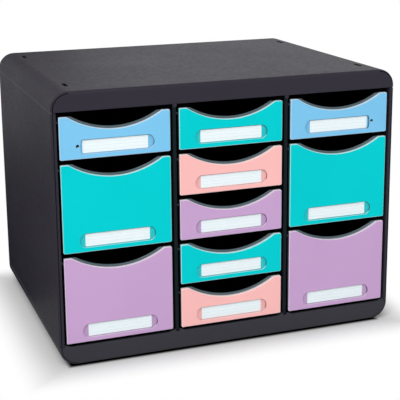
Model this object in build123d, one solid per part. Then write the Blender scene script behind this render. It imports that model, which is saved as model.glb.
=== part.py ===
from build123d import *
import os
from dataclasses import dataclass

os.makedirs("parts", exist_ok=True)

# A desktop drawer box in moulded plastic. The case has three columns, each with five rows of
# runner channels, and holds small drawers one row high and large drawers two rows high.
# Lengths are in millimetres. The origin is at the centre of the footprint, on the table.
# The drawer fronts face -Y and +Z is up.

# Case outside
case_width = 355.0
case_depth = 270.0
case_height = 271.0
corner_radius = 17.0
front_edge_radius = 3.0
back_edge_radius = 1.5

# Case walls
cover_wall = 3.0
side_wall = 4.75
partition_wall = 4.0
back_wall = 2.5
top_band = 19.0
bottom_band = 18.6

# Joints between the case parts
seam_gap = 0.3
seam_bevel = 0.5
inner_edge_bevel = 0.7
tongue_wall = 1.8
tongue_rise = 3.5
tongue_root = 5.0
tongue_gap = 0.3
slot_rib_wall = 2.0
slot_rib_rise = 8.0
slot_gap = 0.15
trim_setback = 0.5
nose_setback = 2.0
nose_bevel = 0.6
keeper_drop = 3.5
gusset_run = 6.5
gusset_rise = 2.4

# Shadow groove down the left and right of the front edge
groove_inset = 1.4
groove_width = 1.0
groove_depth = 2.0

# Raised fields on the outside of the back panel
back_field_border = 12.0
back_field_rise = 1.0
back_field_radius = 6.0

# Feet and the stacking slots above them
foot_height = 3.5
foot_length = 16.0
foot_width = 3.2
foot_from_side = 22.5
foot_from_front = 37.0
foot_gap = 0.1
socket_depth = 3.6
stack_gap = 0.4
stack_depth = 2.5
boss_wall = 2.0

# Columns and rows
column_count = 3
row_count = 5
first_front_lift = 2.9
front_gap = 4.9
front_side_gap = 2.5

# Drawer fronts
front_setback = 1.0
front_thickness = 3.0
front_edge_round = 0.8
front_corner_radius = 1.4
grip_from_side = 7.924
grip_depth = 14.0
grip_shoulder = 3.0
grip_lip = 2.2

# Label pocket, card and window
label_length = 64.0
label_height = 12.5
label_thickness = 0.3
label_lift = 5.0
pocket_gap = 0.7
pocket_depth = 1.8
pocket_bulge = 5.0
pocket_bulge_at_pin = 1.4
window_thickness = 0.8
window_gap = 0.15

# Pin hole beside the label of the drawers that have one
pin_hole_diameter = 3.2
pin_hole_offset = 36.7
pin_hole_lift = 12.3

# Snap pegs that hold a front on its tray
peg_diameter = 4.0
peg_gap = 0.2
peg_from_side = 7.75
peg_from_bottom = 7.0
peg_from_top = 8.0
peg_past_wall = 0.8

# Trays
tray_wall = 2.0
tray_floor = 1.8
tray_lift = 2.0
tray_inset = 0.4
tray_back_gap = 3.5
tray_corner_radius = 5.0
tray_floor_radius = 3.0
tray_lip_round = 0.8

# Runner channels and stops
rail_reach = 3.75
rail_wall = 2.0
rail_gap = 0.7
rail_front_gap = 9.0
rail_back_gap = 1.2
flange_wall = 1.8
flange_drop = 4.5
flange_side_gap = 0.75
runner_gap = 0.3
stop_height = 1.8
stop_length = 4.0
stop_gap = 0.5
lug_length = 2.5
drawer_travel = 180.0

# Levels worked out from the sizes above
half_width = case_width / 2
half_depth = case_depth / 2
body_bottom = foot_height
body_height = case_height - foot_height
base_top = body_bottom + bottom_band
cover_bottom = case_height - top_band
floor_level = body_bottom + cover_wall
ceiling_level = case_height - cover_wall
row_pitch = (cover_bottom - base_top - first_front_lift) / row_count
first_front_bottom = base_top + first_front_lift

# Places across the width
side_face = half_width - side_wall
column_clear = (2 * side_face - (column_count - 1) * partition_wall) / column_count
column_pitch = column_clear + partition_wall
front_width = column_clear - 2 * front_side_gap
grip_half = front_width / 2 - grip_from_side
grip_radius = (grip_half**2 + grip_depth**2) / (2 * grip_depth)
rail_tip = column_clear / 2 - rail_reach
tray_half = rail_tip - rail_gap
flange_half = column_clear / 2 - flange_side_gap

# Places along the depth
front_y = -half_depth + front_setback
tray_front_y = front_y + front_thickness
tray_inner_front = tray_front_y + tray_wall
band_back_y = -half_depth + cover_wall
back_panel_y = half_depth - cover_wall - back_wall
tray_back_y = back_panel_y - tray_back_gap
rail_front_y = tray_inner_front + rail_front_gap
rail_back_y = back_panel_y - rail_back_gap
lug_back_y = rail_front_y + lug_length
stop_front_y = lug_back_y + drawer_travel + stop_gap

# Heights within a row, counted down from the top of the drawer front
flange_top = -flange_drop
flange_bottom = flange_top - flange_wall
lower_rail_top = flange_bottom - runner_gap
upper_rail_bottom = flange_top + stop_height + stop_gap


@dataclass(frozen=True)
class Drawer:
    """One drawer: its name, column from the left, lowest row, rows it fills, side of its pin hole."""

    name: str
    column: int
    row: int
    rows: int
    pin_side: int = 0

    @property
    def front_height(self):
        return self.rows * row_pitch - front_gap

    @property
    def place(self):
        x = (self.column - (column_count - 1) / 2) * column_pitch
        return Pos(x, 0, first_front_bottom + self.row * row_pitch)


def outer_column(side, column, pin_side):
    """A small drawer over two large ones."""
    top_row = row_count - 1
    return [
        Drawer(f"{side}_top", column, top_row, 1, pin_side),
        Drawer(f"{side}_middle", column, top_row - 2, 2),
        Drawer(f"{side}_bottom", column, top_row - 4, 2),
    ]


def middle_column():
    """Small drawers only, numbered from the top down."""
    return [Drawer(f"centre_{row_count - row}", 1, row, 1) for row in reversed(range(row_count))]


drawers = outer_column("left", 0, -1) + middle_column() + outer_column("right", 2, 1)


def block(x, y, z):
    """A box between a low and a high limit on each axis."""
    size = (x[1] - x[0], y[1] - y[0], z[1] - z[0])
    middle = ((x[0] + x[1]) / 2, (y[0] + y[1]) / 2, (z[0] + z[1]) / 2)
    return Pos(*middle) * Box(*size)


def mirrored_block(side, x, y, z):
    """A box whose X limits are given for the +X side; side is 1 or -1."""
    return block((min(side * x[0], side * x[1]), max(side * x[0], side * x[1])), y, z)


def plate(outline, y_front, thickness):
    """An upright plate from an outline drawn in X and Z, with its front face at y_front."""
    back_plane = Plane.XZ.offset(-(y_front + thickness))
    return extrude(back_plane * outline, thickness)


def case_outline(inset):
    """The case seen from the front, smaller by inset on every side."""
    width = case_width - 2 * inset
    height = body_height - 2 * inset
    return Pos(0, body_bottom + body_height / 2) * RectangleRounded(width, height, corner_radius - inset)


def front_groove():
    """The bars that cut the shadow groove, down both sides of the front and round its corners."""
    ring = case_outline(groove_inset) - case_outline(groove_inset + groove_width)
    ring -= Pos(0, case_height / 2) * Rectangle(case_width - 2 * corner_radius, 2 * case_height)
    return plate(ring, -half_depth, groove_depth)


def case_envelope():
    """The solid outside of the whole case, with its front and back edges rounded."""
    solid = plate(case_outline(0), -half_depth, case_depth)
    solid = fillet(solid.faces().sort_by(Axis.Y)[0].edges(), front_edge_radius)
    solid = fillet(solid.faces().sort_by(Axis.Y)[-1].edges(), back_edge_radius)
    return solid - front_groove()


def cavity_outline(gap=0.0):
    """The inside of the two covers, seen from the front."""
    return case_outline(cover_wall + gap)


envelope = case_envelope()


def slice_between(solid, low, high):
    """The part of a solid between two levels."""
    reach = case_width + case_depth
    return solid & block((-reach, reach), (-reach, reach), (low, high))


def cover_shell(low, high, seam_end):
    """A hollow slice of the case envelope. The seam, at the low end for 0 or the high for -1, is bevelled."""
    slab = slice_between(envelope, low, high)
    slab = chamfer(slab.faces().sort_by(Axis.Z)[seam_end].edges(), seam_bevel)
    return slab - plate(cavity_outline(), band_back_y, case_depth - 2 * cover_wall)


def partition_places():
    """Centre lines of the partitions."""
    return [(index + 1 - column_count / 2) * column_pitch for index in range(column_count - 1)]


def slot_ribs(low, high):
    """Pairs of ribs that hold a partition's upper or lower edge between them."""
    inner = partition_wall / 2 + slot_gap
    ribs = []
    for x in partition_places():
        for side in (-1, 1):
            y = (band_back_y, back_panel_y - slot_gap)
            rib = mirrored_block(side, (inner, inner + slot_rib_wall), y, (low, high))
            ribs.append(Pos(x, 0, 0) * rib)
    return ribs


def foot_places():
    """Plan positions of the four feet."""
    x, y = half_width - foot_from_side, half_depth - foot_from_front
    return [(side_x * x, side_y * y) for side_x in (-1, 1) for side_y in (-1, 1)]


def oblong(grow, low, high):
    """Four upright oblongs over the feet, larger than a foot by grow on every side."""
    outline = SlotOverall(foot_length + 2 * grow, foot_width + 2 * grow, rotation=90)
    return [Pos(x, y, low) * extrude(outline, high - low) for x, y in foot_places()]


def gusset(x, direction):
    """A small ramp on the bottom band, where an upright wall meets it."""
    tip = direction * gusset_run
    outline = make_face(Polyline((0, 0), (tip, 0), (0, gusset_rise), (0, 0), close=False))
    return plate(Pos(x, base_top) * outline, -half_depth + trim_setback, cover_wall - trim_setback)


def base():
    """Lower cover with the bottom band, foot sockets, partition slots and gussets."""
    part = cover_shell(body_bottom, base_top, -1)
    part += slot_ribs(floor_level, floor_level + slot_rib_rise)
    part += oblong(foot_gap + boss_wall, floor_level, body_bottom + socket_depth + boss_wall)
    part -= oblong(foot_gap, body_bottom, body_bottom + socket_depth)
    for x in partition_places():
        part += [gusset(x + side * partition_wall / 2, side) for side in (-1, 1)]
    return part + [gusset(side * side_face, -side) for side in (-1, 1)]


def keeper(x):
    """A round-ended lug under the top band that covers the upper end of a partition's nose."""
    radius = partition_wall / 2
    straight = keeper_drop - radius
    outline = Pos(x, cover_bottom - straight / 2) * Rectangle(partition_wall, straight)
    outline += Pos(x, cover_bottom - straight) * Circle(radius)
    return plate(outline, -half_depth + trim_setback, cover_wall - trim_setback)


def top_cover():
    """Lid with the flat top, the front band, partition slots and four blind stacking slots."""
    part = cover_shell(cover_bottom, case_height, 0)
    part += slot_ribs(ceiling_level - slot_rib_rise, ceiling_level)
    part += oblong(stack_gap + boss_wall, case_height - stack_depth - boss_wall, ceiling_level)
    part -= oblong(stack_gap, case_height - stack_depth, case_height)
    return part + [keeper(x) for x in partition_places()]


def runner_channels(face_x, direction, centre_x):
    """Rails, rear stops and front lugs of every row, on the wall face at face_x."""
    tip_x = centre_x - direction * rail_tip
    x = (min(face_x, tip_x), max(face_x, tip_x))
    pieces = []
    for row in range(row_count):
        top = first_front_bottom + (row + 1) * row_pitch - front_gap
        lower = (top + lower_rail_top - rail_wall, top + lower_rail_top)
        upper = (top + upper_rail_bottom, top + upper_rail_bottom + rail_wall)
        lug = (top + flange_top + stop_gap, upper[0])
        pieces.append(block(x, (rail_front_y, rail_back_y), lower))
        pieces.append(block(x, (rail_front_y, rail_back_y), upper))
        pieces.append(block(x, (rail_front_y, lug_back_y), lug))
        pieces.append(block(x, (tray_back_y + runner_gap, rail_back_y), (lower[1], upper[0])))
    return pieces


def side_panel(side):
    """Side wall with its channels and the tongues that key into the two covers."""
    low, high = base_top + seam_gap, cover_bottom - seam_gap
    wall = slice_between(envelope, low, high)
    wall &= mirrored_block(side, (side_face, half_width), (-half_depth, half_depth), (low, high))
    outside = wall.faces().sort_by(Axis.X)[-1 if side > 0 else 0]
    wall = chamfer(outside.edges().filter_by(Axis.Y), seam_bevel)
    inside = wall.faces().sort_by(Axis.X)[0 if side > 0 else -1]
    wall = chamfer(inside.edges().filter_by(Axis.Z).sort_by(Axis.Y)[0], inner_edge_bevel)
    wall += runner_channels(side * side_face, -side, side * (column_count - 1) / 2 * column_pitch)
    tongue_x = (half_width - cover_wall - tongue_gap - tongue_wall, half_width - cover_wall - tongue_gap)
    tongue_y = (band_back_y + tongue_gap, back_panel_y - tongue_gap)
    wall += mirrored_block(side, tongue_x, tongue_y, (base_top - tongue_rise, low + tongue_root))
    wall += mirrored_block(side, tongue_x, tongue_y, (high - tongue_root, cover_bottom + tongue_rise))
    return wall


def partition(x):
    """Upright wall between two columns, with a nose that shows between the bands."""
    half = partition_wall / 2
    y = (band_back_y + slot_gap, back_panel_y - slot_gap)
    wall = block((x - half, x + half), y, (floor_level, ceiling_level))
    nose_z = (base_top + seam_gap, cover_bottom - keeper_drop - seam_gap)
    nose = block((x - half, x + half), (-half_depth + nose_setback, y[0]), nose_z)
    nose = chamfer(nose.faces().sort_by(Axis.Y)[0].edges().filter_by(Axis.Z), nose_bevel)
    wall += nose
    for side in (-1, 1):
        wall += runner_channels(x + side * half, side, x + side * column_pitch / 2)
    return wall


def back_panel():
    """Back wall inside the bands, with one raised field behind each column."""
    sheet = plate(cavity_outline(slot_gap), back_panel_y, back_wall)
    sheet &= block((slot_gap - side_face, side_face - slot_gap), (0, case_depth), (0, case_height))
    field_width = column_pitch - 2 * back_field_border
    field_height = cover_bottom - base_top - 2 * back_field_border
    middle = (cover_bottom + base_top) / 2
    for column in range(column_count):
        x = (column - (column_count - 1) / 2) * column_pitch
        field = Pos(x, middle) * RectangleRounded(field_width, field_height, back_field_radius)
        sheet += plate(field, back_panel_y + back_wall, back_field_rise)
    return sheet


def feet():
    """Four oblong rubber feet, each standing in its socket."""
    return Compound(children=[foot for foot in oblong(0, 0, body_bottom + socket_depth)])


def front_outline(height, lip=0.0):
    """A drawer front, its lower edge at zero, its upper edge dipped for the grip, less deep by the lip."""
    face = Pos(0, height / 2) * Rectangle(front_width, height)
    corners = [v for v in face.vertices() if v.Y < height / 2]
    face = fillet(corners, front_corner_radius)
    face -= Pos(0, height - grip_depth + grip_radius) * Circle(grip_radius - lip)
    top_points = [v for v in face.vertices() if abs(v.Y - height) < 0.001]
    face = fillet([v for v in top_points if abs(v.X) < front_width / 2 - 0.01], grip_shoulder)
    top_points = [v for v in face.vertices() if abs(v.Y - height) < 0.001]
    return fillet([v for v in top_points if abs(v.X) > front_width / 2 - 0.01], front_corner_radius)


def pocket_outline(gap, pin_side):
    """The label pocket with its bulging ends; the end beside a pin hole bulges less."""
    half_length = label_length / 2 + pocket_gap - gap
    half_height = label_height / 2 + pocket_gap - gap
    left = pocket_bulge_at_pin if pin_side < 0 else pocket_bulge
    right = pocket_bulge_at_pin if pin_side > 0 else pocket_bulge
    edges = [
        Line((-half_length, -half_height), (half_length, -half_height)),
        ThreePointArc((half_length, -half_height), (half_length + right, 0), (half_length, half_height)),
        Line((half_length, half_height), (-half_length, half_height)),
        ThreePointArc((-half_length, half_height), (-half_length - left, 0), (-half_length, -half_height)),
    ]
    return Pos(0, label_lift + label_height / 2) * make_face(edges)


def peg_places(height):
    """Positions of the four snap pegs of a front, in X and height."""
    x = front_width / 2 - peg_from_side
    return [(side * x, z) for side in (-1, 1) for z in (peg_from_bottom, height - peg_from_top)]


def round_bars(places, diameter, y_front, length):
    """Round bars along the depth, at the places given in X and height."""
    return [plate(Pos(x, z) * Circle(diameter / 2), y_front, length) for x, z in places]


def pin_hole(drawer, y_front, length):
    """The small hole beside the label, as the bar that cuts it; none on most drawers."""
    places = [(drawer.pin_side * pin_hole_offset, pin_hole_lift)] if drawer.pin_side else []
    return round_bars(places, pin_hole_diameter, y_front, length)


def drawer_front(drawer):
    """Coloured front panel with its label pocket and snap pegs."""
    panel = plate(front_outline(drawer.front_height), front_y, front_thickness)
    panel = fillet(panel.faces().sort_by(Axis.Y)[0].edges(), front_edge_round)
    panel -= plate(pocket_outline(0, drawer.pin_side), front_y, pocket_depth)
    for bar in pin_hole(drawer, front_y, front_thickness):
        panel -= bar
    pegs = round_bars(peg_places(drawer.front_height), peg_diameter, tray_front_y, tray_wall + peg_past_wall)
    return drawer.place * (panel + pegs)


def label_card(drawer):
    """White card on the floor of the label pocket."""
    outline = Pos(0, label_lift + label_height / 2) * Rectangle(label_length, label_height)
    return drawer.place * plate(outline, front_y + pocket_depth - label_thickness, label_thickness)


def label_window(drawer):
    """Clear window that covers the card."""
    outline = pocket_outline(window_gap, drawer.pin_side)
    y = front_y + pocket_depth - label_thickness - window_thickness
    return drawer.place * plate(outline, y, window_thickness)


def tub(half, y, z, corner, floor_round):
    """A block with rounded back corners and rounded lower edges, open to the front wall."""
    solid = block((-half, half), y, z)
    solid = fillet(solid.edges().filter_by(Axis.Z).group_by(Axis.Y)[-1], corner)
    lower = solid.faces().sort_by(Axis.Z)[0].edges().sort_by(Axis.Y)[1:]
    return fillet(lower, floor_round)


def tray_front_wall(height):
    """The wall behind a drawer front; along the dip it stands proud of the front as a rounded lip."""
    wall = plate(front_outline(height, grip_lip), tray_front_y, tray_wall)
    faces = wall.faces().sort_by(Axis.Y)
    wall = fillet(faces[0].edges() + faces[-1].edges(), tray_lip_round)
    half = front_width / 2 - tray_inset
    return wall & block((-half, half), (tray_front_y, tray_inner_front), (tray_inset, height))


def tray(drawer):
    """Black tray with its front wall, side flanges and stops."""
    height = drawer.front_height
    rim = height + flange_top
    part = tub(
        tray_half,
        (tray_front_y, tray_back_y),
        (tray_lift, rim),
        tray_corner_radius,
        tray_floor_radius,
    )
    part -= tub(
        tray_half - tray_wall,
        (tray_front_y, tray_back_y - tray_wall),
        (tray_lift + tray_floor, height),
        tray_corner_radius - tray_wall,
        tray_floor_radius - tray_floor / 2,
    )
    part += tray_front_wall(height)
    for side in (-1, 1):
        flange_z = (height + flange_bottom, rim)
        flange_x = (tray_half - tray_wall / 2, flange_half)
        part += mirrored_block(side, flange_x, (tray_inner_front, tray_back_y), flange_z)
        stop_y = (stop_front_y, stop_front_y + stop_length)
        part += mirrored_block(side, (rail_tip + runner_gap, flange_half), stop_y, (rim, rim + stop_height))
    for bar in round_bars(peg_places(height), peg_diameter + 2 * peg_gap, tray_front_y, tray_wall):
        part -= bar
    for bar in pin_hole(drawer, tray_front_y, tray_wall):
        part -= bar
    return drawer.place * part


def build():
    """Every piece of the drawer box, by name."""
    left_x, right_x = partition_places()
    pieces = {
        "top_cover": top_cover(),
        "base": base(),
        "left_side_panel": side_panel(-1),
        "right_side_panel": side_panel(1),
        "back_panel": back_panel(),
        "left_partition": partition(left_x),
        "right_partition": partition(right_x),
        "feet": feet(),
    }
    for drawer in drawers:
        pieces[f"{drawer.name}_tray"] = tray(drawer)
        pieces[f"{drawer.name}_front"] = drawer_front(drawer)
        pieces[f"{drawer.name}_label"] = label_card(drawer)
        pieces[f"{drawer.name}_window"] = label_window(drawer)
    return pieces


for name, piece in build().items():
    export_step(piece, f"parts/{name}.step")
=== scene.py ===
import logging
import math
from dataclasses import dataclass
from enum import Enum

import bmesh
import bpy
from mathutils import Matrix, Vector


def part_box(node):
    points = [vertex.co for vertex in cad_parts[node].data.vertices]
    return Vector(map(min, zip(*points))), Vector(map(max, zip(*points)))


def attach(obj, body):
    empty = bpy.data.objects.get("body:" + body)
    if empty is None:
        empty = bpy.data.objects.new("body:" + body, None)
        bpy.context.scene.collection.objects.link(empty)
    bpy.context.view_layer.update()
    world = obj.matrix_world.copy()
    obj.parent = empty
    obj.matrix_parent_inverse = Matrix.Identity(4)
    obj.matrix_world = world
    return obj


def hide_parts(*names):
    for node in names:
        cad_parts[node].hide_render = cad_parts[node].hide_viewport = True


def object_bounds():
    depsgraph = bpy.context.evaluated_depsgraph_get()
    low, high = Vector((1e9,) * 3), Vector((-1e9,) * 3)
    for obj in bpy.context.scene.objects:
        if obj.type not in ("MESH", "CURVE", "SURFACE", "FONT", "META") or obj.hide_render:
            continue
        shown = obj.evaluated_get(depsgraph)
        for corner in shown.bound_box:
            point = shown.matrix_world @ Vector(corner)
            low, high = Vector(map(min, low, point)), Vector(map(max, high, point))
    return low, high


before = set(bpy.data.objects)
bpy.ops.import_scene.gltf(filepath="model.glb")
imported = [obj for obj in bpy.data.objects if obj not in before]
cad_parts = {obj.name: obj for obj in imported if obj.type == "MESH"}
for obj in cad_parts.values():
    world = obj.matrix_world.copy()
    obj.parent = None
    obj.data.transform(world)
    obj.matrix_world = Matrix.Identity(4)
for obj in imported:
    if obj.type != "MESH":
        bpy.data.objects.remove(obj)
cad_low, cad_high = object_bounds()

log = logging.getLogger("drawer_box")

MILLIMETRE = 0.001
FRAME_PIXELS = 400
SENSOR_WIDTH = 36.0
RIM_STEPS = 3
# painted light on the fronts: the first share whitens their rims and edges as a highlight, the
# second darkens their walls as shade
RIM_HIGHLIGHT_SHARE = 0.65  # of white in the colour of a front's rim
SIDE_SHADE_SHARE = 0.3  # of a front's colour, kept on the walls that don't look up
TINT_FLOOR = 0.3  # of white in the tint of a front's highlights

Tree = bpy.types.NodeTree
Node = bpy.types.Node
Socket = bpy.types.NodeSocket
Material = bpy.types.Material
Piece = bpy.types.Object
Mesh = bmesh.types.BMesh
Colour = tuple[float, float, float, float]
Triple = tuple[float, float, float]
Pair = tuple[float, float]
Value = float | Socket
Shade = Colour | Socket
Inputs = dict[str | int, Value | Shade]


class Tint(Enum):
    """Colours of the drawer fronts, as 8-bit screen values."""

    BLUE = (126, 198, 238)
    TURQUOISE = (4, 206, 210)
    PEACH = (252, 190, 187)
    PURPLE = (199, 163, 206)


def screen(red: float, green: float, blue: float) -> Colour:
    """Turns an 8-bit screen colour into the linear colour that a shader takes.

    Args:
        red: Red, from 0 to 255.
        green: Green, from 0 to 255.
        blue: Blue, from 0 to 255.

    Returns:
        Linear red, green and blue, with an alpha of 1.
    """
    def linear(value: float) -> float:
        """Takes one channel from the screen's curve to linear light.

        Args:
            value: The channel, from 0 to 255.

        Returns:
            The channel's light, from 0 to 1.
        """
        share = value / 255
        return share / 12.92 if share <= 0.04045 else ((share + 0.055) / 1.055) ** 2.4

    return linear(red), linear(green), linear(blue), 1.0


def put(tree: Tree, kind: str, inputs: Inputs | None = None, **settings: object) -> Node:
    """Adds one node to a tree and fills its sockets.

    Args:
        tree: The material's or group's node tree.
        kind: Blender's type name of the node.
        inputs: Socket name or number against a value, or against an output socket to link.
        settings: Attributes of the node itself.

    Returns:
        The new node.
    """
    node = tree.nodes.new(kind)
    for name, value in settings.items():
        setattr(node, name, value)
    for key, value in (inputs or {}).items():
        if isinstance(value, Socket):
            tree.links.new(value, node.inputs[key])
        else:
            node.inputs[key].default_value = value
    return node


def use_group(tree: Tree, group: Tree, **inputs: Value) -> Node:
    """Adds a shared node group to a material.

    Args:
        tree: The material's node tree.
        group: The shared group.
        inputs: Each input's value or socket by the input's name.

    Returns:
        The group's node.
    """
    return put(tree, "ShaderNodeGroup", inputs, node_tree=group)


def compute(tree: Tree, operation: str, *values: Value) -> Socket:
    """Adds a Math node.

    Args:
        tree: The node tree.
        operation: Blender's name of the operation.
        values: One, two or three numbers or sockets.

    Returns:
        The node's output.
    """
    node = put(tree, "ShaderNodeMath", dict(enumerate(values)), operation=operation)
    return node.outputs[0]


def between(tree: Tree, factor: Value, low: float, high: float) -> Socket:
    """Adds a Map Range node that turns 0 to 1 into low to high.

    Args:
        tree: The node tree.
        factor: What runs from 0 to 1.
        low: The result at 0.
        high: The result at 1.

    Returns:
        The node's output.
    """
    node = put(tree, "ShaderNodeMapRange", {"Value": factor, "To Min": low, "To Max": high})
    return node.outputs["Result"]


def window_of(tree: Tree, value: Value, low: float, high: float) -> Socket:
    """Adds a Map Range node that turns low to high into 0 to 1, smoothly.

    Args:
        tree: The node tree.
        value: What is compared with the two limits.
        low: Where the result is still 0.
        high: Where the result has reached 1.

    Returns:
        The node's output.
    """
    settings = {"Value": value, "From Min": low, "From Max": high}
    node = put(tree, "ShaderNodeMapRange", settings, interpolation_type="SMOOTHSTEP")
    return node.outputs["Result"]


def mix_colours(tree: Tree, factor: Value, first: Shade, second: Shade) -> Socket:
    """Adds a colour Mix node.

    Args:
        tree: The node tree.
        factor: The share of the second colour.
        first: The colour at 0.
        second: The colour at 1.

    Returns:
        The node's colour output.
    """
    node = put(tree, "ShaderNodeMix", {0: factor, 6: first, 7: second}, data_type="RGBA")
    return node.outputs[2]


def inside_span(tree: Tree, value: Socket, low: float, high: float) -> Socket:
    """Adds a sharp mask: 1 where a value lies between two limits, and 0 elsewhere.

    Args:
        tree: The node tree.
        value: What is compared.
        low: The lower limit.
        high: The upper limit.

    Returns:
        The mask.
    """
    above = compute(tree, "GREATER_THAN", value, low)
    return compute(tree, "MULTIPLY", above, compute(tree, "LESS_THAN", value, high))


def turned_away(tree: Tree) -> tuple[Socket, Socket]:
    """How the surface lies: how far it turns away from the front, and how far it looks up.

    Args:
        tree: The material's node tree.

    Returns:
        1 less the size of the normal's Y, and the normal's Z.
    """
    surface = put(tree, "ShaderNodeNewGeometry")
    split = put(tree, "ShaderNodeSeparateXYZ", {0: surface.outputs["Normal"]})
    away = compute(tree, "SUBTRACT", 1.0, compute(tree, "ABSOLUTE", split.outputs["Y"]))
    return away, split.outputs["Z"]


class Effects:
    """Shader node groups that several finishes share, each one built once."""

    pebble_blend: float = 0.6  # how far neighbouring pebbles melt into each other
    pebble_cloud: Inputs = {"Scale": 0.8, "Detail": 3.0, "Roughness": 0.6}
    cloud_share: float = 0.7  # height of the clouds, where a pebble's is 1
    pit_span: Pair = (0.35, 0.75)  # distance from a pebble's middle, in pebbles
    drift_cloud: Inputs = {"Scale": 1.0, "Detail": 2.0, "Distortion": 0.6}
    drift_span: Pair = (0.3, 0.7)
    edge_span: Pair = (0.02, 0.3)  # how far the rounded normal turns from the flat one
    edge_samples: int = 4

    def __init__(self) -> None:
        """Builds every group."""
        self.grain = self.build_grain()
        self.drift = self.build_drift()
        self.edges = self.build_edges()

    @staticmethod
    def new_group(name: str, inputs: dict[str, str],
                  outputs: dict[str, str]) -> tuple[Tree, Node, Node]:
        """Starts a node group with its sockets.

        Args:
            name: The group's name.
            inputs: Name against socket type of each input.
            outputs: Name against socket type of each output.

        Returns:
            The tree, its Group Input node and its Group Output node.
        """
        tree = bpy.data.node_groups.new(name, "ShaderNodeTree")
        for way, sockets in (("INPUT", inputs), ("OUTPUT", outputs)):
            for label, kind in sockets.items():
                tree.interface.new_socket(name=label, in_out=way, socket_type=kind)
        return tree, tree.nodes.new("NodeGroupInput"), tree.nodes.new("NodeGroupOutput")

    @staticmethod
    def measured(tree: Tree, vector: Socket, unit: Socket) -> Socket:
        """Measures coordinates in units of a length.

        Args:
            tree: The group's node tree.
            vector: The coordinates, in metres.
            unit: The length that becomes 1.

        Returns:
            The scaled coordinates.
        """
        pitch = compute(tree, "DIVIDE", 1.0, unit)
        scaled = put(tree, "ShaderNodeVectorMath", {0: vector, "Scale": pitch}, operation="SCALE")
        return scaled.outputs["Vector"]

    def build_grain(self) -> Tree:
        """Fine pebbled grain of a spark-eroded mould; Size is the pitch of the pebbles.

        Returns:
            The group, which gives the grain's height and a mask of its pits.
        """
        tree, source, result = self.new_group(
            "moulded_grain",
            {"Vector": "NodeSocketVector", "Size": "NodeSocketFloat"},
            {"Height": "NodeSocketFloat", "Pits": "NodeSocketFloat"},
        )
        vector = self.measured(tree, source.outputs["Vector"], source.outputs["Size"])
        blend = {"Vector": vector, "Scale": 1.0, "Smoothness": self.pebble_blend}
        pebbles = put(tree, "ShaderNodeTexVoronoi", blend, feature="SMOOTH_F1")
        cloud = put(tree, "ShaderNodeTexNoise", {"Vector": vector, **self.pebble_cloud})
        raised = compute(tree, "SUBTRACT", 1.0, pebbles.outputs["Distance"])
        height = compute(tree, "MULTIPLY_ADD", cloud.outputs["Fac"], self.cloud_share, raised)
        tree.links.new(height, result.inputs["Height"])
        pits = window_of(tree, pebbles.outputs["Distance"], *self.pit_span)
        tree.links.new(pits, result.inputs["Pits"])
        return tree

    def build_drift(self) -> Tree:
        """Slow, cloudy change over a surface; Span is the size of one cloud.

        Returns:
            The group, which gives a value from 0 to 1.
        """
        tree, source, result = self.new_group(
            "slow_drift",
            {"Vector": "NodeSocketVector", "Span": "NodeSocketFloat"},
            {"Value": "NodeSocketFloat"},
        )
        vector = self.measured(tree, source.outputs["Vector"], source.outputs["Span"])
        cloud = put(tree, "ShaderNodeTexNoise", {"Vector": vector, **self.drift_cloud})
        value = window_of(tree, cloud.outputs["Fac"], *self.drift_span)
        tree.links.new(value, result.inputs["Value"])
        return tree

    def build_edges(self) -> Tree:
        """Softened corners: Normal is rounded over Radius, and Mask is 1 along the edges.

        Returns:
            The group.
        """
        tree, source, result = self.new_group(
            "soft_edges",
            {"Radius": "NodeSocketFloat"},
            {"Mask": "NodeSocketFloat", "Normal": "NodeSocketVector"},
        )
        rounded = put(tree, "ShaderNodeBevel", {"Radius": source.outputs["Radius"]},
                      samples=self.edge_samples)
        flat = put(tree, "ShaderNodeNewGeometry")
        both = {0: rounded.outputs["Normal"], 1: flat.outputs["Normal"]}
        agree = put(tree, "ShaderNodeVectorMath", both, operation="DOT_PRODUCT")
        bent = compute(tree, "SUBTRACT", 1.0, agree.outputs["Value"])
        tree.links.new(window_of(tree, bent, *self.edge_span), result.inputs["Mask"])
        tree.links.new(rounded.outputs["Normal"], result.inputs["Normal"])
        return tree


@dataclass(frozen=True)
class Finish:
    """What every finish has: a name, and a material started in the same way."""

    name: str

    def start(self) -> tuple[Material, Tree, Node, Socket]:
        """Starts a material.

        Returns:
            The material, its tree, its Principled BSDF and the Object coordinates.
        """
        material = bpy.data.materials.new(self.name)
        material.use_nodes = True
        tree = material.node_tree
        shader = tree.nodes["Principled BSDF"]
        place = put(tree, "ShaderNodeTexCoord")
        return material, tree, shader, place.outputs["Object"]


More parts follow.
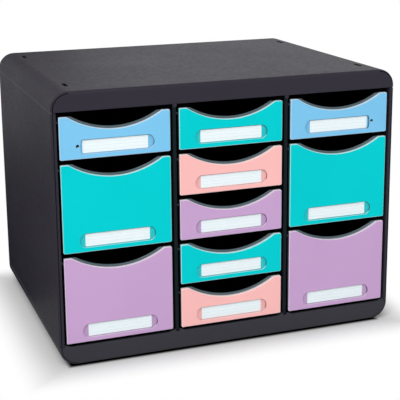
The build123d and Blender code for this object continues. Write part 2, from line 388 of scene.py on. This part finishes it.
@dataclass(frozen=True)
class MouldedPlastic(Finish):
    """Injection-moulded plastic with a grain, slow changes of gloss, softened edges and a highlight
    painted along them.
    """

    colour: Colour
    # edge_colour is the highlight painted along the edges, mixed in by edge_light
    edge_colour: Colour
    roughness: Pair
    specular: float
    grain_size: float
    grain_depth: float
    edge_radius: float = 0.35 * MILLIMETRE
    edge_light: float = 0.5
    specular_tint: Colour = (1.0, 1.0, 1.0, 1.0)
    drift_span: float = 0.09
    drift_shade: float = 0.12
    pit_share: float = 0.35
    fleck_span: float = 3.5 * MILLIMETRE
    fleck_rough: float = 0.0

    def build(self, effects: Effects) -> Material:
        """Builds the material from the shared effects.

        Args:
            effects: The shared node groups.

        Returns:
            The material.
        """
        material, tree, shader, place = self.start()
        grain = use_group(tree, effects.grain, Vector=place, Size=self.grain_size)
        drift = use_group(tree, effects.drift, Vector=place, Span=self.drift_span)
        fleck = use_group(tree, effects.drift, Vector=place, Span=self.fleck_span)
        edges = use_group(tree, effects.edges, Radius=self.edge_radius)
        deeper = tuple(channel * (1 - self.drift_shade) for channel in self.colour[:3]) + (1.0,)
        shade = mix_colours(tree, drift.outputs["Value"], deeper, self.colour)
        # painted shade: the pits of the grain are darkened
        pits = compute(tree, "MULTIPLY", grain.outputs["Pits"], self.pit_share)
        pit_shaded = mix_colours(tree, pits, shade, deeper)
        # painted highlight: the colour turns towards edge_colour along the edges
        lit = compute(tree, "MULTIPLY", edges.outputs["Mask"], self.edge_light)
        edge_highlit = mix_colours(tree, lit, pit_shaded, self.edge_colour)
        tree.links.new(self.zoned(tree, place, edge_highlit), shader.inputs["Base Color"])
        gloss = between(tree, drift.outputs["Value"], *self.roughness)
        rough = compute(tree, "MULTIPLY_ADD", fleck.outputs["Value"], self.fleck_rough, gloss)
        tree.links.new(rough, shader.inputs["Roughness"])
        bump = put(tree, "ShaderNodeBump", {
            "Strength": 1.0,
            "Distance": self.grain_depth,
            "Height": grain.outputs["Height"],
            "Normal": edges.outputs["Normal"],
        })
        tree.links.new(bump.outputs["Normal"], shader.inputs["Normal"])
        shader.inputs["Specular IOR Level"].default_value = self.specular
        shader.inputs["Specular Tint"].default_value = self.specular_tint
        return material

    def zoned(self, tree: Tree, place: Socket, edge_highlit: Socket) -> Socket:
        """Changes the colour from zone to zone; a plain moulding has one zone only.

        Args:
            tree: The material's node tree.
            place: The Object coordinates.
            edge_highlit: The colour of the open surface.

        Returns:
            The colour of the whole surface.
        """
        return edge_highlit


@dataclass(frozen=True)
class CasePlastic(MouldedPlastic):
    """The case's grained plastic, with a pale highlight painted along the seam under the lid and
    the stacking slots painted dark as their shade.
    """

    # seam is a pale line painted as the highlight on the seam's edge; slot_shade paints the slots
    # near black as their shade
    seam: Colour = screen(80, 78, 86)
    seam_level: float = 0.252  # height of the lid's lower edge
    seam_half: float = 0.8 * MILLIMETRE
    slot_shade: Colour = screen(4, 4, 5)
    slot_levels: Pair = (0.2684, 0.2706)  # from the slots' floors to just under the lid's top
    lid_reach: Pair = (0.164, 0.12)  # along X and Y, where the lid's top lies above those levels

    def zoned(self, tree: Tree, place: Socket, edge_highlit: Socket) -> Socket:
        """Paints a pale highlight on the seam between the lid and each side panel, and paints the
        slots in the lid dark as their shade.

        Args:
            tree: The material's node tree.
            place: The Object coordinates.
            edge_highlit: The colour of the open surface.

        Returns:
            The colour of the whole shell.
        """
        split = put(tree, "ShaderNodeSeparateXYZ", {0: place})
        x, y, level = (split.outputs[axis] for axis in "XYZ")
        skin = cad_high.x - 2 * self.seam_half
        outer = compute(tree, "GREATER_THAN", compute(tree, "ABSOLUTE", x), skin)
        low, high = self.seam_level - self.seam_half, self.seam_level + self.seam_half
        near = inside_span(tree, level, low, high)
        # painted highlight along the seam
        colour = mix_colours(tree, compute(tree, "MULTIPLY", near, outer), edge_highlit, self.seam)
        # painted shade: the slots in the lid turn near black
        slot_shadow = inside_span(tree, level, *self.slot_levels)
        for value, reach in zip((x, y), self.lid_reach):
            slot_shadow = compute(tree, "MULTIPLY", slot_shadow, inside_span(tree, value, -reach, reach))
        return mix_colours(tree, slot_shadow, colour, self.slot_shade)


@dataclass(frozen=True)
class TrayPlastic(MouldedPlastic):
    """The trays' polished plastic: near black inside, with the front wall painted a paler grey-blue
    as the light on its rim.
    """

    inside: Colour = screen(16, 16, 19)
    wall_back: Pair = (-0.1292, -0.1275)  # along Y, from the front wall's inner face backwards

    def zoned(self, tree: Tree, place: Socket, edge_highlit: Socket) -> Socket:
        """Turns the colour to the inside's behind the front wall.

        Args:
            tree: The material's node tree.
            place: The Object coordinates.
            edge_highlit: The colour of the front wall.

        Returns:
            The colour of the whole tray.
        """
        split = put(tree, "ShaderNodeSeparateXYZ", {0: place})
        # painted light: the front wall keeps its paler colour, and behind it the tray turns to its
        # own near black
        behind = window_of(tree, split.outputs["Y"], *self.wall_back)
        return mix_colours(tree, behind, edge_highlit, self.inside)


@dataclass(frozen=True)
class FrontPlastic(MouldedPlastic):
    """The coloured fronts' plastic, with a highlight painted where the panel's rim rounds away from
    its face, and shade painted on its walls.
    """

    # rim is the colour of the painted highlight, side the colour of the painted shade
    rim: Colour = (1.0, 1.0, 1.0, 1.0)
    rim_turn: Pair = (0.01, 0.25)
    side: Colour = (0.0, 0.0, 0.0, 1.0)
    side_turn: Pair = (0.85, 0.97)
    lit_turn: Pair = (0.3, 0.7)

    def zoned(self, tree: Tree, place: Socket, edge_highlit: Socket) -> Socket:
        """Paints a highlight on the rim beside the face, and paints shade on the walls that don't
        look up.

        Args:
            tree: The material's node tree.
            place: The Object coordinates.
            edge_highlit: The colour of the face.

        Returns:
            The colour of the whole front.
        """
        away, up = turned_away(tree)
        # painted highlight on the rim, painted shade on the walls that turn sideways and don't look
        # up
        rim_highlit = mix_colours(tree, window_of(tree, away, *self.rim_turn), edge_highlit, self.rim)
        unlit = compute(tree, "SUBTRACT", 1.0, window_of(tree, up, *self.lit_turn))
        side_shade = compute(tree, "MULTIPLY", window_of(tree, away, *self.side_turn), unlit)
        return mix_colours(tree, side_shade, rim_highlit, self.side)


@dataclass(frozen=True)
class RuledCard(Finish):
    """White index card, with faint ruled lines and a fine paper tooth."""

    paper: Colour
    ink: Colour
    line_count: int = 3
    line_share: float = 0.05
    ruled_part: Pair = (0.12, 0.88)
    ink_strength: Pair = (0.3, 0.55)
    ink_span: float = 6 * MILLIMETRE
    tooth: float = 0.25 * MILLIMETRE
    tooth_depth: float = 0.01 * MILLIMETRE
    roughness: float = 0.8
    specular: float = 0.3

    def build(self, effects: Effects) -> Material:
        """Builds the material; the lines run along the card's own UV map.

        Args:
            effects: The shared node groups.

        Returns:
            The material.
        """
        material, tree, shader, place = self.start()
        map_node = put(tree, "ShaderNodeUVMap", uv_map="card")
        split = put(tree, "ShaderNodeSeparateXYZ", {0: map_node.outputs["UV"]})
        rows = compute(tree, "MULTIPLY", split.outputs["Y"], float(self.line_count + 1))
        nearest = compute(tree, "PINGPONG", rows, 0.5)
        line = compute(tree, "LESS_THAN", nearest, self.line_share)
        inside = inside_span(tree, split.outputs["Y"], *self.ruled_part)
        drift = use_group(tree, effects.drift, Vector=place, Span=self.ink_span)
        strength = between(tree, drift.outputs["Value"], *self.ink_strength)
        strength = compute(tree, "MULTIPLY", compute(tree, "MULTIPLY", line, strength), inside)
        ruled = mix_colours(tree, strength, self.paper, self.ink)
        tree.links.new(ruled, shader.inputs["Base Color"])
        grain = use_group(tree, effects.grain, Vector=place, Size=self.tooth)
        bump = put(tree, "ShaderNodeBump", {
            "Strength": 1.0,
            "Distance": self.tooth_depth,
            "Height": grain.outputs["Height"],
        })
        tree.links.new(bump.outputs["Normal"], shader.inputs["Normal"])
        shader.inputs["Roughness"].default_value = self.roughness
        shader.inputs["Specular IOR Level"].default_value = self.specular
        return material


@dataclass(frozen=True)
class ClearWindow(Finish):
    """Thin clear plastic, hardly seen face on and shinier at a slant, partly by its gloss and
    partly by white painted on as sheen, with edges painted dark as shade and faint wipe marks.
    """

    colour: Colour
    edge_colour: Colour
    share: float
    most: float
    edge_cover: float
    edge_turn: Pair = (0.05, 0.3)
    refraction: float = 1.49
    wipe_span: float = 12 * MILLIMETRE
    roughness: Pair = (0.06, 0.16)

    def build(self, effects: Effects) -> Material:
        """Builds the material; its white cover grows with the view's slant as painted sheen, and
        its edges are painted dark as shade.

        Args:
            effects: The shared node groups.

        Returns:
            The material.
        """
        material, tree, shader, place = self.start()
        slant = put(tree, "ShaderNodeFresnel", {"IOR": self.refraction})
        # painted sheen: the white shows more at a slant
        cover = compute(tree, "MULTIPLY", slant.outputs["Fac"], self.share)
        cover = compute(tree, "MINIMUM", cover, self.most)
        away, _ = turned_away(tree)
        # painted shade: the rounded edges turn dark
        edge = window_of(tree, away, *self.edge_turn)
        edge_cover = compute(tree, "MULTIPLY", edge, self.edge_cover)
        tree.links.new(compute(tree, "MAXIMUM", cover, edge_cover), shader.inputs["Alpha"])
        tint = mix_colours(tree, edge, self.colour, self.edge_colour)
        tree.links.new(tint, shader.inputs["Base Color"])
        wipes = use_group(tree, effects.drift, Vector=place, Span=self.wipe_span)
        rough = between(tree, wipes.outputs["Value"], *self.roughness)
        tree.links.new(rough, shader.inputs["Roughness"])
        return material


def linked_piece(name: str, bm: Mesh, material: Material) -> Piece:
    """Turns a finished bmesh into an object at the origin, with one material.

    Args:
        name: The piece's name.
        bm: The mesh, in place in the frame; it is freed.
        material: What the piece is dressed in.

    Returns:
        The new object.
    """
    bmesh.ops.recalc_face_normals(bm, faces=bm.faces)
    mesh = bpy.data.meshes.new(name)
    bm.to_mesh(mesh)
    bm.free()
    mesh.materials.append(material)
    piece = bpy.data.objects.new(name, mesh)
    bpy.context.scene.collection.objects.link(piece)
    return piece


def thicken(bm: Mesh, way: Triple) -> None:
    """Extrudes flat faces into slabs.

    Args:
        bm: The mesh, made of flat faces only.
        way: How far, and which way, the new faces move.
    """
    grown = bmesh.ops.extrude_face_region(bm, geom=list(bm.faces))
    moved = [item for item in grown["geom"] if isinstance(item, bmesh.types.BMVert)]
    bmesh.ops.translate(bm, vec=way, verts=moved)


def round_rim(bm: Mesh, edges: list[bmesh.types.BMEdge], radius: float) -> None:
    """Rounds a rim.

    Args:
        bm: The mesh.
        edges: The rim's edges.
        radius: How far the round reaches.
    """
    bmesh.ops.bevel(bm, geom=edges, offset=radius, offset_type="OFFSET", affect="EDGES",
                    segments=RIM_STEPS, profile=0.5, material=-1)


def smooth_quads(piece: Piece) -> None:
    """Shades the four-sided faces of the rounds and sides smooth, and leaves the ends flat.

    Args:
        piece: The piece.
    """
    for face in piece.data.polygons:
        face.use_smooth = len(face.vertices) == 4


def dress(node: str, material: Material) -> None:
    """Gives a carried-over node its material.

    Args:
        node: The node's name.
        material: What it is dressed in.
    """
    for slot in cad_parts[node].material_slots:
        slot.material = material
    log.info("dressed %s in %s", node, material.name)


@dataclass(frozen=True)
class LabelCard:
    """The card behind one drawer's label window."""

    drawer: str
    thickness: float = 0.25 * MILLIMETRE
    corner: float = 0.8 * MILLIMETRE
    margin: float = 0.1 * MILLIMETRE
    corner_steps: int = 4

    def build(self, material: Material) -> Piece:
        """Cuts the card to its node's box, clips its corners and lays out its UV map.

        Args:
            material: What the card is dressed in.

        Returns:
            The card.
        """
        low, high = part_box(f"{self.drawer}_label")
        width = high.x - low.x - 2 * self.margin
        height = high.z - low.z - 2 * self.margin
        bm = bmesh.new()
        bmesh.ops.create_grid(bm, x_segments=1, y_segments=1, size=0.5)
        bmesh.ops.scale(bm, vec=(width, height, 1.0), verts=bm.verts)
        bmesh.ops.rotate(bm, matrix=Matrix.Rotation(math.pi / 2, 3, "X"), verts=bm.verts)
        bmesh.ops.bevel(bm, geom=list(bm.verts), offset=self.corner, offset_type="OFFSET",
                        affect="VERTICES", segments=self.corner_steps, profile=0.5, material=-1)
        thicken(bm, (0, -self.thickness, 0))
        layer = bm.loops.layers.uv.new("card")
        for face in bm.faces:
            for loop in face.loops:
                place = loop.vert.co
                loop[layer].uv = (place.x / width + 0.5, place.z / height + 0.5)
        middle = Vector(((low.x + high.x) / 2, high.y, (low.z + high.z) / 2))
        bmesh.ops.translate(bm, vec=middle, verts=bm.verts)
        return linked_piece(f"{self.drawer}_card", bm, material)


@dataclass(frozen=True)
class LabelWindow:
    """The clear window over one drawer's card: a slab with bulging ends and a rounded rim."""

    drawer: str
    clearance: float = 0.05 * MILLIMETRE
    past_card: float = 0.5 * MILLIMETRE
    rim: float = 0.22 * MILLIMETRE
    arc_steps: int = 12

    def end_arc(self, bm: Mesh, x: float, half_height: float, bulge: float,
                side: int) -> list[bmesh.types.BMVert]:
        """Spins a corner of the outline into one bulging end.

        Args:
            bm: The mesh.
            x: Where the straight part ends, from the middle.
            half_height: Half of the window's height.
            bulge: How far the end stands out.
            side: 1 for the end at high X, -1 for the other.

        Returns:
            The arc's two end points, the lower one first.
        """
        radius = (bulge ** 2 + half_height ** 2) / (2 * bulge)
        centre = Vector((side * (x + bulge - radius), 0, 0))
        angle = 2 * math.asin(half_height / radius)
        start = bm.verts.new((side * x, 0, -half_height))
        spun = bmesh.ops.spin(bm, geom=[start], cent=centre, axis=(0, -side, 0), angle=angle,
                              steps=self.arc_steps, use_merge=False, use_duplicate=False)
        last = [item for item in spun["geom_last"] if isinstance(item, bmesh.types.BMVert)][0]
        return [start, last]

    def build(self, material: Material) -> Piece:
        """Draws the outline, gives it its thickness and rounds its front rim.

        Args:
            material: What the window is dressed in.

        Returns:
            The window.
        """
        low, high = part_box(f"{self.drawer}_window")
        card_low, card_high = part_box(f"{self.drawer}_label")
        middle_x = (card_low.x + card_high.x) / 2
        straight = (card_high.x - card_low.x) / 2 + self.past_card
        half_height = (high.z - low.z) / 2
        right = (high.x - middle_x) - straight
        left = (middle_x - low.x) - straight
        bm = bmesh.new()
        right_low, right_high = self.end_arc(bm, straight, half_height, right, 1)
        left_low, left_high = self.end_arc(bm, straight, half_height, left, -1)
        bm.edges.new((left_low, right_low))
        bm.edges.new((right_high, left_high))
        bmesh.ops.contextual_create(bm, geom=list(bm.edges))
        thickness = high.y - low.y - self.clearance
        thicken(bm, (0, -thickness, 0))
        front = -thickness + self.clearance
        rim_edges = [edge for edge in bm.edges if all(vert.co.y < front for vert in edge.verts)]
        round_rim(bm, rim_edges, self.rim)
        place = Vector((middle_x, high.y - self.clearance, (low.z + high.z) / 2))
        bmesh.ops.translate(bm, vec=place, verts=bm.verts)
        piece = linked_piece(f"{self.drawer}_clear_window", bm, material)
        smooth_quads(piece)
        return piece


@dataclass(frozen=True)
class Drawer:
    """One sliding drawer: a black tray, a coloured front, a card and its window."""

    name: str
    tint: Tint

    @property
    def body(self) -> str:
        """The body that the drawer's pieces ride on.

        Returns:
            Its name in the record.
        """
        return f"{self.name}_drawer"

    def build(self, wardrobe: dict[str, Material]) -> list[Piece]:
        """Dresses the tray and the front, and adds the card and its window.

        Args:
            wardrobe: Every material by name.

        Returns:
            The new pieces.
        """
        dress(f"{self.name}_tray", wardrobe["tray_plastic"])
        dress(f"{self.name}_front", wardrobe[f"{self.tint.name.lower()}_front"])
        card = LabelCard(self.name).build(wardrobe["label_card"])
        window = LabelWindow(self.name).build(wardrobe["label_window"])
        added = ((card, "label", "label_card"), (window, "window", "label_window"))
        for piece, node, slot in added:
            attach(piece, self.body)
            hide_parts(f"{self.name}_{node}")
        return [card, window]


@dataclass(frozen=True)
class Feet:
    """Four oblong rubber feet with a rounded rim, standing in the sockets of the base."""

    length: float = 16.0 * MILLIMETRE
    width: float = 3.2 * MILLIMETRE
    rim: float = 0.6 * MILLIMETRE
    arc_steps: int = 24

    def oblong(self, bm: Mesh, middle: Triple) -> None:
        """Draws one foot's outline: a disc whose two halves are drawn apart along Y.

        Args:
            bm: The mesh.
            middle: Where the outline's middle goes.
        """
        disc = bmesh.ops.create_circle(bm, cap_ends=True, radius=self.width / 2,
                                       segments=self.arc_steps)
        verts = disc["verts"]
        bmesh.ops.rotate(bm, matrix=Matrix.Rotation(math.pi / self.arc_steps, 3, "Z"), verts=verts)
        for side in (-1, 1):
            half = [vert for vert in verts if vert.co.y * side > 0]
            bmesh.ops.translate(bm, vec=(0, side * (self.length - self.width) / 2, 0), verts=half)
        bmesh.ops.translate(bm, vec=middle, verts=verts)

    def build(self, material: Material) -> Piece:
        """Draws the four outlines, gives them their height and rounds the rims they stand on.

        Args:
            material: What the feet are dressed in.

        Returns:
            The four feet as one piece.
        """
        low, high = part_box("feet")
        bm = bmesh.new()
        for side_x in (-1, 1):
            for side_y in (-1, 1):
                x = side_x * (high.x - self.width / 2)
                y = side_y * (high.y - self.length / 2)
                self.oblong(bm, (x, y, low.z))
        thicken(bm, (0, 0, high.z - low.z))
        halfway = (low.z + high.z) / 2
        rim_edges = [edge for edge in bm.edges if all(vert.co.z < halfway for vert in edge.verts)]
        round_rim(bm, rim_edges, self.rim)
        piece = linked_piece("rubber_feet", bm, material)
        smooth_quads(piece)
        return piece


@dataclass(frozen=True)
class Case:
    """The fixed case: lid, base, sides, back, partitions and feet."""

    finishes: tuple[tuple[str, str], ...] = (
        ("top_cover", "case_plastic"),
        # the base's plastic is the case's painted lighter, as light from the floor
        ("base", "base_plastic"),
        ("left_side_panel", "case_plastic"),
        ("right_side_panel", "case_plastic"),
        ("back_panel", "back_plastic"),
        # wall_plastic is the case's black painted darker, as shade between the drawers
        ("left_partition", "wall_plastic"),
        ("right_partition", "wall_plastic"),
    )

    def build(self, wardrobe: dict[str, Material]) -> list[Piece]:
        """Dresses the shells and the walls, and adds the feet.

        Args:
            wardrobe: Every material by name.

        Returns:
            The new pieces.
        """
        for node, finish in self.finishes:
            dress(node, wardrobe[finish])
        feet = Feet().build(wardrobe["rubber"])
        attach(feet, "case")
        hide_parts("feet")
        return [feet]


@dataclass(frozen=True)
class Viewpoint:
    """The camera's place and aim, with angles in degrees and the focal length in pixels."""

    position: Triple = (-0.3766, -1.0776, 0.4430)
    heading: float = 20.008
    dip: float = 13.34
    lean: float = -0.497
    focal_pixels: float = 1071.3
    drop: float = 0.125

    def aim(self) -> Matrix:
        """Turns the camera to its heading, below the horizon, with a slight lean.

        Returns:
            The camera's matrix.
        """
        turn = Matrix.Rotation(math.radians(-self.heading), 4, "Z")
        level = Matrix.Rotation(math.radians(90 - self.dip), 4, "X")
        roll = Matrix.Rotation(math.radians(self.lean), 4, "Z")
        return Matrix.Translation(self.position) @ turn @ level @ roll

    def build(self) -> Piece:
        """Makes the camera and sets it as the scene's.

        Returns:
            The camera.
        """
        lens = bpy.data.cameras.new("viewpoint")
        lens.sensor_width = SENSOR_WIDTH
        lens.lens = self.focal_pixels / FRAME_PIXELS * SENSOR_WIDTH
        lens.shift_y = -self.drop
        camera = bpy.data.objects.new("viewpoint", lens)
        camera.matrix_world = self.aim()
        bpy.context.scene.collection.objects.link(camera)
        bpy.context.scene.camera = camera
        return camera


@dataclass(frozen=True)
class Lamp:
    """A soft rectangular lamp that looks at a target."""

    name: str
    position: Triple
    size: Pair
    power: float
    colour: Triple = (1.0, 1.0, 1.0)

    def build(self, target: Vector) -> None:
        """Makes the lamp and points it at the target.

        Args:
            target: Where the lamp looks.
        """
        data = bpy.data.lights.new(self.name, "AREA")
        data.shape = "RECTANGLE"
        data.size, data.size_y = self.size
        data.energy = self.power
        data.color = self.colour
        lamp = bpy.data.objects.new(self.name, data)
        lamp.location = self.position
        lamp.rotation_mode = "QUATERNION"
        lamp.rotation_quaternion = (target - Vector(self.position)).to_track_quat("-Z", "Y")
        bpy.context.scene.collection.objects.link(lamp)


@dataclass(frozen=True)
class Flag:
    """A flat black or grey cloth near the object, seen only in its glossy reflections."""

    name: str
    low: Triple
    high: Triple
    shade: float = 16.0

    def build(self) -> Piece:
        """Makes the cloth, lying or upright, and hides it from everything but glossy rays.

        Returns:
            The cloth.
        """
        material = bpy.data.materials.new(self.name)
        material.use_nodes = True
        cloth = material.node_tree.nodes["Principled BSDF"]
        cloth.inputs["Base Color"].default_value = screen(self.shade, self.shade, self.shade)
        cloth.inputs["Roughness"].default_value = 1.0
        cloth.inputs["Specular IOR Level"].default_value = 0.0
        span = Vector(self.high) - Vector(self.low)
        bm = bmesh.new()
        bmesh.ops.create_grid(bm, x_segments=1, y_segments=1, size=0.5)
        if span.z > 0:
            bmesh.ops.rotate(bm, matrix=Matrix.Rotation(math.pi / 2, 3, "X"), verts=bm.verts)
        bmesh.ops.scale(bm, vec=span, verts=bm.verts)
        bmesh.ops.translate(bm, vec=(Vector(self.high) + Vector(self.low)) / 2, verts=bm.verts)
        flag = linked_piece(self.name, bm, material)
        flag.visible_camera = False
        flag.visible_diffuse = False
        flag.visible_transmission = False
        flag.visible_shadow = False
        return flag


@dataclass(frozen=True)
class Studio:
    """Pale floor, plain soft light and a white surround."""

    ambient: float = 0.31
    floor_size: float = 30.0
    floor_shade: float = 0.9
    floor_rough: float = 0.9
    shadow_reach: Pair = (-0.004, 0.045)
    # painted shadow: the floor's colour turns black under the object, inside the footprint less
    # dark_inset
    under_case: Pair = (-0.003, 0.003)
    dark_inset: Pair = (0.0095, 0.0035)
    lamps: tuple[Lamp, ...] = (
        Lamp("key_lamp", (-1.1, -1.9, 1.9), (1.8, 1.4), 50.0),
        Lamp("fill_lamp", (0.9, -2.2, 0.7), (1.4, 1.0), 7.0),
    )
    flags: tuple[Flag, ...] = (
        Flag("near_flag", (-0.9, -0.13, 0.001), (-0.17, 0.05, 0.001), 190.0),
        Flag("left_flag", (-0.9, 0.05, 0.001), (-0.3, 0.3, 0.001), 190.0),
        Flag("floor_flag", (-0.3, 0.05, 0.001), (-0.17, 0.3, 0.001)),
        Flag("far_floor_flag", (-0.9, 0.3, 0.001), (-0.17, 0.95, 0.001)),
        Flag("left_back_flag", (-1.6, 1.1, 0.0), (-0.28, 1.1, 0.8), 215.0),
        Flag("back_flag", (-0.28, 1.1, 0.3), (0.14, 1.1, 0.8)),
    )

    @staticmethod
    def seen_directly(tree: Tree) -> Socket:
        """Tells the rays that show a surface from those that light by it.

        Args:
            tree: The node tree.

        Returns:
            1 for a ray that comes from the camera, a glossy surface or glass, and 0 for others.
        """
        path = put(tree, "ShaderNodeLightPath")
        camera, glossy, glass = (path.outputs[f"Is {kind} Ray"]
                                 for kind in ("Camera", "Glossy", "Transmission"))
        return compute(tree, "MAXIMUM", compute(tree, "MAXIMUM", camera, glossy), glass)

    def build_world(self) -> None:
        """Lights the scene evenly, and shows plain white where the surround is seen."""
        world = bpy.data.worlds.new("surround")
        world.use_nodes = True
        bpy.context.scene.world = world
        tree = world.node_tree
        tree.nodes.clear()
        soft = put(tree, "ShaderNodeBackground", {"Strength": self.ambient})
        white = put(tree, "ShaderNodeBackground", {"Strength": 1.0})
        for background in (soft, white):
            background.inputs["Color"].default_value = (1.0, 1.0, 1.0, 1.0)
        choice = put(tree, "ShaderNodeMixShader", {0: self.seen_directly(tree)})
        tree.links.new(soft.outputs[0], choice.inputs[1])
        tree.links.new(white.outputs[0], choice.inputs[2])
        end = put(tree, "ShaderNodeOutputWorld")
        tree.links.new(choice.outputs[0], end.inputs["Surface"])

    @staticmethod
    def outside(tree: Tree, inset: Pair = (0.0, 0.0)) -> Socket:
        """How far a point of the floor lies outside the object's footprint, in metres.

        Args:
            tree: The floor's node tree.
            inset: How much smaller the footprint is taken on each side, along X and along Y.

        Returns:
            The distance, below zero under the object.
        """
        place = put(tree, "ShaderNodeTexCoord")
        split = put(tree, "ShaderNodeSeparateXYZ", {0: place.outputs["Object"]})
        beyond = []
        for axis, reach in (("X", cad_high.x - inset[0]), ("Y", cad_high.y - inset[1])):
            away = compute(tree, "ABSOLUTE", split.outputs[axis])
            beyond.append(compute(tree, "SUBTRACT", away, reach))
        return compute(tree, "MAXIMUM", *beyond)

    def glow(self, tree: Tree) -> Socket:
        """How much the floor glows: little beside the object, in its shadow, and fully further off.

        Args:
            tree: The floor's node tree.

        Returns:
            The share of the glow, from 0 to 1.
        """
        share = window_of(tree, self.outside(tree), *self.shadow_reach)
        return compute(tree, "MULTIPLY", self.seen_directly(tree), share)

    def build_floor(self) -> Piece:
        """Lays the floor: painted black under the object as its shadow, softly shadowed beside it,
        white further off.

        Returns:
            The floor.
        """
        material = bpy.data.materials.new("pale_floor")
        material.use_nodes = True
        tree = material.node_tree
        matt = tree.nodes["Principled BSDF"]
        # painted shadow: black under the object, the pale floor colour outside it
        clear = window_of(tree, self.outside(tree, self.dark_inset), *self.under_case)
        pale = (self.floor_shade,) * 3 + (1.0,)
        ground = mix_colours(tree, clear, (0.0, 0.0, 0.0, 1.0), pale)
        tree.links.new(ground, matt.inputs["Base Color"])
        matt.inputs["Roughness"].default_value = self.floor_rough
        matt.inputs["Specular IOR Level"].default_value = 0.0
        glow = put(tree, "ShaderNodeEmission", {"Strength": 1.0})
        choice = put(tree, "ShaderNodeMixShader", {0: self.glow(tree)})
        tree.links.new(matt.outputs[0], choice.inputs[1])
        tree.links.new(glow.outputs[0], choice.inputs[2])
        tree.links.new(choice.outputs[0], tree.nodes["Material Output"].inputs["Surface"])
        bm = bmesh.new()
        bmesh.ops.create_grid(bm, x_segments=1, y_segments=1, size=self.floor_size / 2)
        floor = linked_piece("pale_floor", bm, material)
        return floor

    def build(self) -> None:
        """Builds the surround, the floor, the flags and the lamps."""
        self.build_world()
        self.build_floor()
        for flag in self.flags:
            flag.build()
        target = (cad_low + cad_high) / 2
        for lamp in self.lamps:
            lamp.build(target)
        bpy.context.scene.view_settings.view_transform = "Standard"


def build_wardrobe() -> dict[str, Material]:
    """Builds every material.

    Returns:
        Each material by its name. Most names are slots of the record too; the base's finish is a
        lighter kind of the case's plastic, painted light from the floor, and the back's is a
        lighter kind of the walls' plastic, which is painted darker as shade.
    """
    effects = Effects()
    finishes = [
        CasePlastic(
            "case_plastic",
            colour=screen(37, 36, 45), edge_colour=screen(62, 61, 70),
            roughness=(0.47, 0.5), fleck_rough=0.08,
            specular=0.21, specular_tint=(1.0, 0.84, 1.0, 1.0),
            grain_size=0.7 * MILLIMETRE, grain_depth=0.045 * MILLIMETRE, drift_shade=0.08,
        ),
        # painted shade: a darker, cyan-tinted copy of the case's black
        MouldedPlastic(
            "wall_plastic",
            colour=screen(6, 14, 19), edge_colour=screen(18, 27, 32),
            roughness=(0.4, 0.46), specular=0.14, specular_tint=(0.8, 0.98, 1.0, 1.0),
            grain_size=0.5 * MILLIMETRE, grain_depth=0.015 * MILLIMETRE, drift_shade=0.08,
        ),
        # painted light: a lighter copy of the case's plastic, for the light from the floor
        MouldedPlastic(
            "base_plastic",
            colour=screen(46, 46, 53), edge_colour=screen(70, 70, 78),
            roughness=(0.47, 0.5), fleck_rough=0.08,
            specular=0.22, specular_tint=(0.99, 0.96, 1.0, 1.0),
            grain_size=0.7 * MILLIMETRE, grain_depth=0.045 * MILLIMETRE, drift_shade=0.08,
        ),
        MouldedPlastic(
            "back_plastic",
            colour=screen(34, 34, 41), edge_colour=screen(70, 70, 78),
            roughness=(0.42, 0.5), specular=0.25,
            grain_size=0.6 * MILLIMETRE, grain_depth=0.03 * MILLIMETRE, drift_shade=0.1,
        ),
        TrayPlastic(
            "tray_plastic",
            # painted light: this grey-blue stands for the light on the front wall's rim; inside is
            # the tray's own black
            colour=screen(76, 92, 99), edge_colour=screen(100, 118, 125),
            roughness=(0.34, 0.42), specular=0.35,
            grain_size=0.3 * MILLIMETRE, grain_depth=0.004 * MILLIMETRE, edge_light=0.3,
        ),
        MouldedPlastic(
            "rubber",
            colour=screen(30, 30, 31), edge_colour=screen(48, 48, 50),
            roughness=(0.8, 0.9), specular=0.25,
            grain_size=0.35 * MILLIMETRE, grain_depth=0.02 * MILLIMETRE, edge_light=0.3,
        ),
        RuledCard("label_card", paper=screen(243, 252, 254), ink=screen(204, 214, 228)),
        ClearWindow(
            "label_window",
            # colour is the white of the painted sheen, edge_colour the shade painted on the edges
            colour=screen(246, 250, 252), edge_colour=screen(40, 62, 74),
            share=0.35, most=0.5, edge_cover=0.34,
        ),
    ]
    for tint in Tint:
        colour = screen(*tint.value)
        # painted light: pale is the highlight painted on the fronts' rims and edges, side_shade the
        # shade painted on their walls
        pale = tuple(channel + (1 - channel) * RIM_HIGHLIGHT_SHARE for channel in colour)
        side_shade = tuple(channel * SIDE_SHADE_SHARE for channel in colour[:3]) + (1.0,)
        tinted = tuple(channel + (1 - channel) * TINT_FLOOR for channel in colour)
        finishes.append(FrontPlastic(
            f"{tint.name.lower()}_front",
            colour=colour, edge_colour=pale, rim=pale, side=side_shade,
            roughness=(0.36, 0.44), specular=0.08, specular_tint=tinted,
            grain_size=0.25 * MILLIMETRE, grain_depth=0.003 * MILLIMETRE,
            edge_light=0.35, drift_shade=0.04,
        ))
    return {finish.name: finish.build(effects) for finish in finishes}


DRAWERS = (
    Drawer("left_top", Tint.BLUE),
    Drawer("left_middle", Tint.TURQUOISE),
    Drawer("left_bottom", Tint.PURPLE),
    Drawer("centre_1", Tint.TURQUOISE),
    Drawer("centre_2", Tint.PEACH),
    Drawer("centre_3", Tint.PURPLE),
    Drawer("centre_4", Tint.TURQUOISE),
    Drawer("centre_5", Tint.PEACH),
    Drawer("right_top", Tint.BLUE),
    Drawer("right_middle", Tint.TURQUOISE),
    Drawer("right_bottom", Tint.PURPLE),
)


def main() -> None:
    """Builds the object and the studio around it."""
    logging.basicConfig(level=logging.INFO, format="%(name)s: %(message)s")
    wardrobe = build_wardrobe()
    pieces = Case().build(wardrobe)
    for drawer in DRAWERS:
        pieces += drawer.build(wardrobe)
    for piece in pieces:
        log.info("built %s with %d faces", piece.name, len(piece.data.polygons))
    Studio().build()
    Viewpoint().build()


if __name__ == "__main__":
    main()
